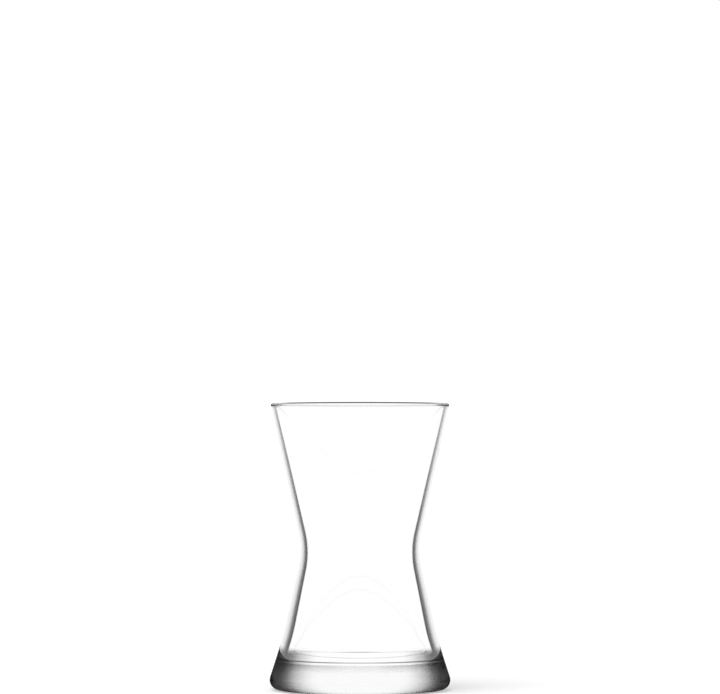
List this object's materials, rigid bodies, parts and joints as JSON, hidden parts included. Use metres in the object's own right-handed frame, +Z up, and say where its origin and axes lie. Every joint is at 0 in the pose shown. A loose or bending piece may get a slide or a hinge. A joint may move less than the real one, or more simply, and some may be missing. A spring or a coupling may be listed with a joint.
{
  "type": "empty turkish tea glass",
  "caption": "Empty hourglass tea glass of clear glass: a slim cone above a rounded waist, a wider foot of solid glass, and a round fire-polished lip.",
  "frame": {"origin": "middle of the foot, on the table that the glass stands on", "axes": "+Z up along the axis that the glass is turned round; X and Y are alike"},
  "size_m": [0.058, 0.058, 0.092],
  "materials": {
    "clear_glass": "pressed, fire-polished and clear"
  },
  "bodies": {
    "root": {"tea_glass": "clear_glass"}
  },
  "joints": []
}
